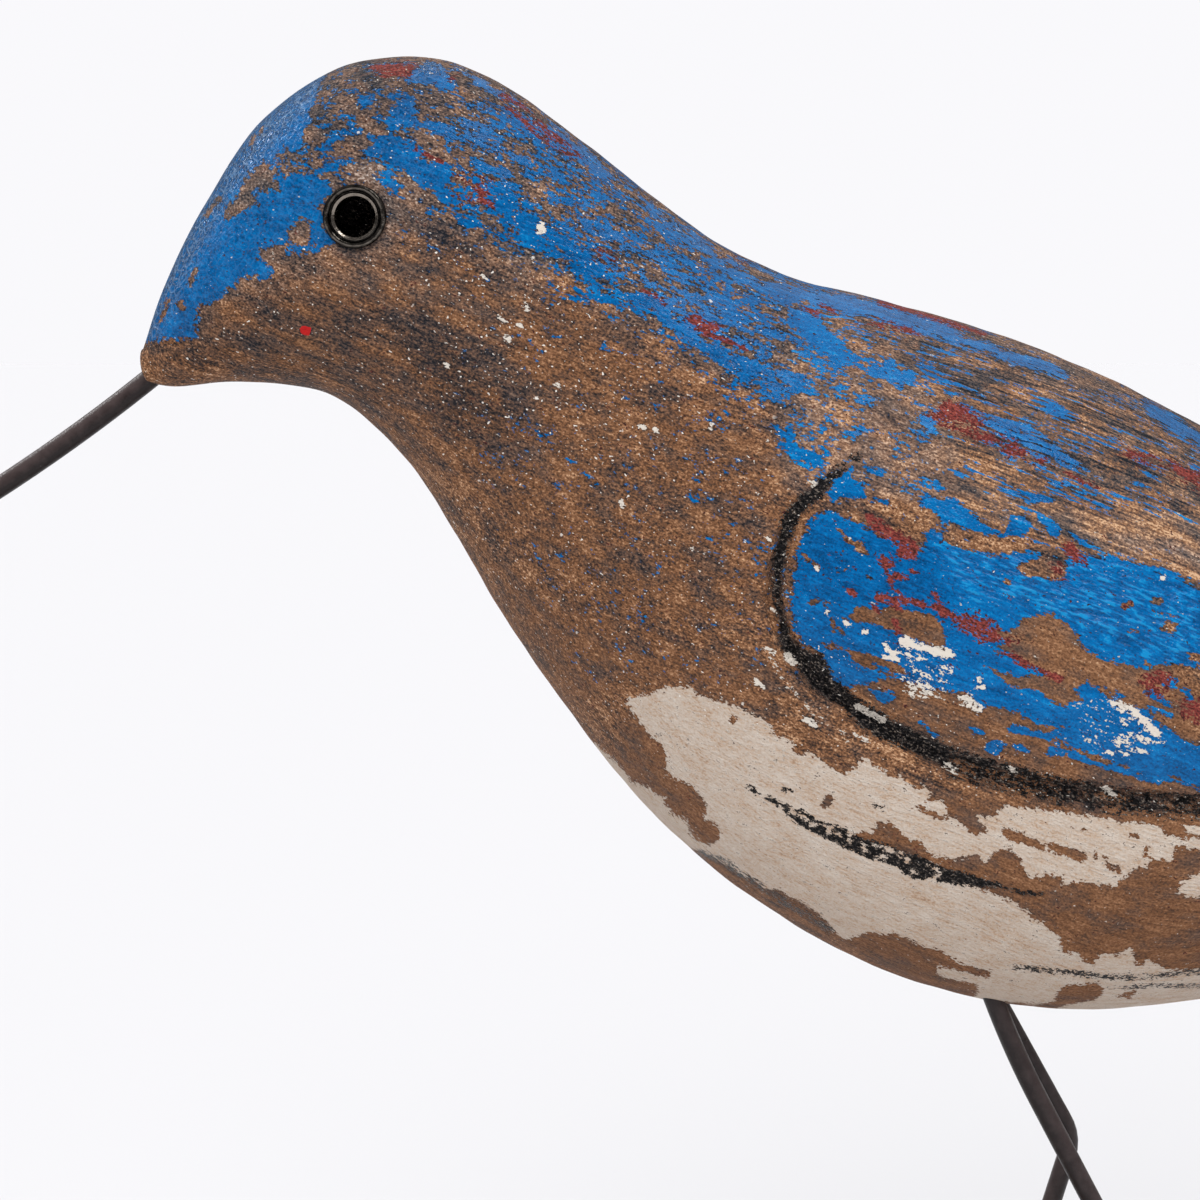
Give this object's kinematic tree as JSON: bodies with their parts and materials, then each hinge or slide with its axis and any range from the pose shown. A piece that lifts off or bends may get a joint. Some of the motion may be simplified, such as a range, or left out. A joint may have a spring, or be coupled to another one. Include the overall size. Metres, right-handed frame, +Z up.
{
  "type": "shorebird decoy",
  "caption": "Carved and painted wooden shorebird with a long wire bill, eyelet eyes and bent wire legs, standing on a plain sawn wood block.",
  "frame": {"origin": "centre of the base block's underside, on the surface it stands on", "axes": "+Z up; the bird faces -X with its tail towards +X; its left side, the one in the picture, is -Y"},
  "size_m": [0.2881, 0.078, 0.2461],
  "materials": {
    "painted_wood": "softwood carving, blue paint worn through to red undercoat and bare brown wood, flaked off-white belly, black line round the wing",
    "dark_wire": "brown-black satin steel wire",
    "dark_eyelet": "blackened metal eyelet with a rolled rim, slightly brassy where rubbed",
    "barn_wood": "weathered sawn board, dark in the grain, edges worn round"
  },
  "bodies": {
    "root": {"body": "painted_wood", "bill": "dark_wire", "eye_left": "dark_eyelet", "eye_right": "dark_eyelet", "leg_left": "dark_wire", "leg_right": "dark_wire", "base_block": "barn_wood"}
  },
  "joints": []
}
